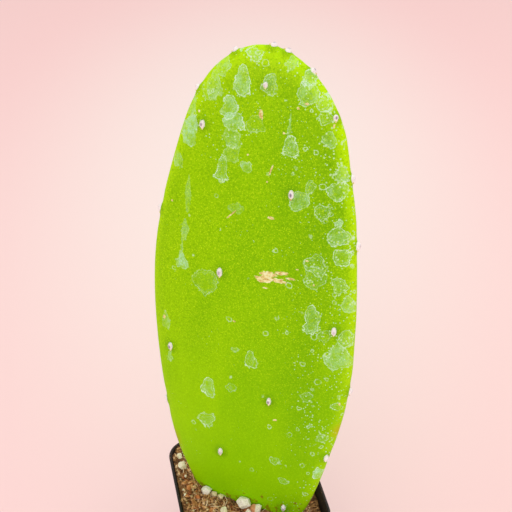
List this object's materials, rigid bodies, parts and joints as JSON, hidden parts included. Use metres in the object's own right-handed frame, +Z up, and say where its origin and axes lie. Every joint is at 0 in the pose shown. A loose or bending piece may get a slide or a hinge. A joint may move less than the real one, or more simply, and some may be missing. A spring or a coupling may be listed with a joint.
{
  "type": "potted paddle cactus",
  "caption": "Upright flat cactus pad with woolly areoles, rooted in a peat, bark and perlite mix in a small square tapered nursery pot.",
  "frame": {"origin": "centre of the pot's flat foot, on the surface that the pot stands on", "axes": "+Z up; the pot's sides run along X and Y; the pad's front face looks towards -Y, turned 32 degrees towards -X, and the pad leans back 10 degrees"},
  "size_m": [0.0762, 0.0736, 0.2579],
  "materials": {
    "pot_plastic": "black thin-wall polypropylene, satin, slightly scuffed",
    "pad_skin": "waxy lime-green cactus skin with a fine speckle, pale mineral stains and a few tan corky scars",
    "areole_wool": "short felted off-white wool with a pink cast",
    "perlite": "chalky white expanded grains, porous",
    "bark": "fine composted bark, matt",
    "coir": "dry tan husk straw",
    "potting_mix": "damp brown peat and coir fibre"
  },
  "bodies": {
    "root": {"nursery_pot": "pot_plastic", "cactus_pad": "pad_skin", "areole_front_1": "areole_wool", "areole_front_2": "areole_wool", "areole_front_3": "areole_wool", "areole_front_4": "areole_wool", "areole_front_5": "areole_wool", "areole_front_6": "areole_wool", "areole_front_7": "areole_wool", "areole_front_8": "areole_wool", "areole_front_9": "areole_wool", "areole_front_10": "areole_wool", "areole_front_11": "areole_wool", "areole_back_1": "areole_wool", "areole_back_2": "areole_wool", "areole_back_3": "areole_wool", "areole_back_4": "areole_wool", "areole_back_5": "areole_wool", "areole_back_6": "areole_wool", "areole_back_7": "areole_wool", "areole_back_8": "areole_wool", "areole_back_9": "areole_wool", "areole_back_10": "areole_wool", "areole_left_edge_1": "areole_wool", "areole_left_edge_2": "areole_wool", "areole_left_edge_3": "areole_wool", "areole_left_edge_4": "areole_wool", "areole_right_edge_1": "areole_wool", "areole_right_edge_2": "areole_wool", "areole_right_edge_3": "areole_wool", "areole_right_edge_4": "areole_wool", "areole_right_edge_5": "areole_wool", "areole_right_edge_6": "areole_wool", "perlite_1": "perlite", "perlite_2": "perlite", "perlite_3": "perlite", "perlite_4": "perlite", "perlite_5": "perlite", "perlite_6": "perlite", "perlite_7": "perlite", "perlite_8": "perlite", "perlite_9": "perlite", "perlite_10": "perlite", "perlite_11": "perlite", "perlite_12": "perlite", "perlite_13": "perlite", "perlite_14": "perlite", "bark_1": "bark", "bark_2": "bark", "bark_3": "bark", "bark_4": "bark", "bark_5": "bark", "bark_6": "bark", "bark_7": "bark", "coir_1": "coir", "coir_2": "coir", "coir_3": "coir", "coir_4": "coir", "potting_mix": "potting_mix"}
  },
  "joints": []
}
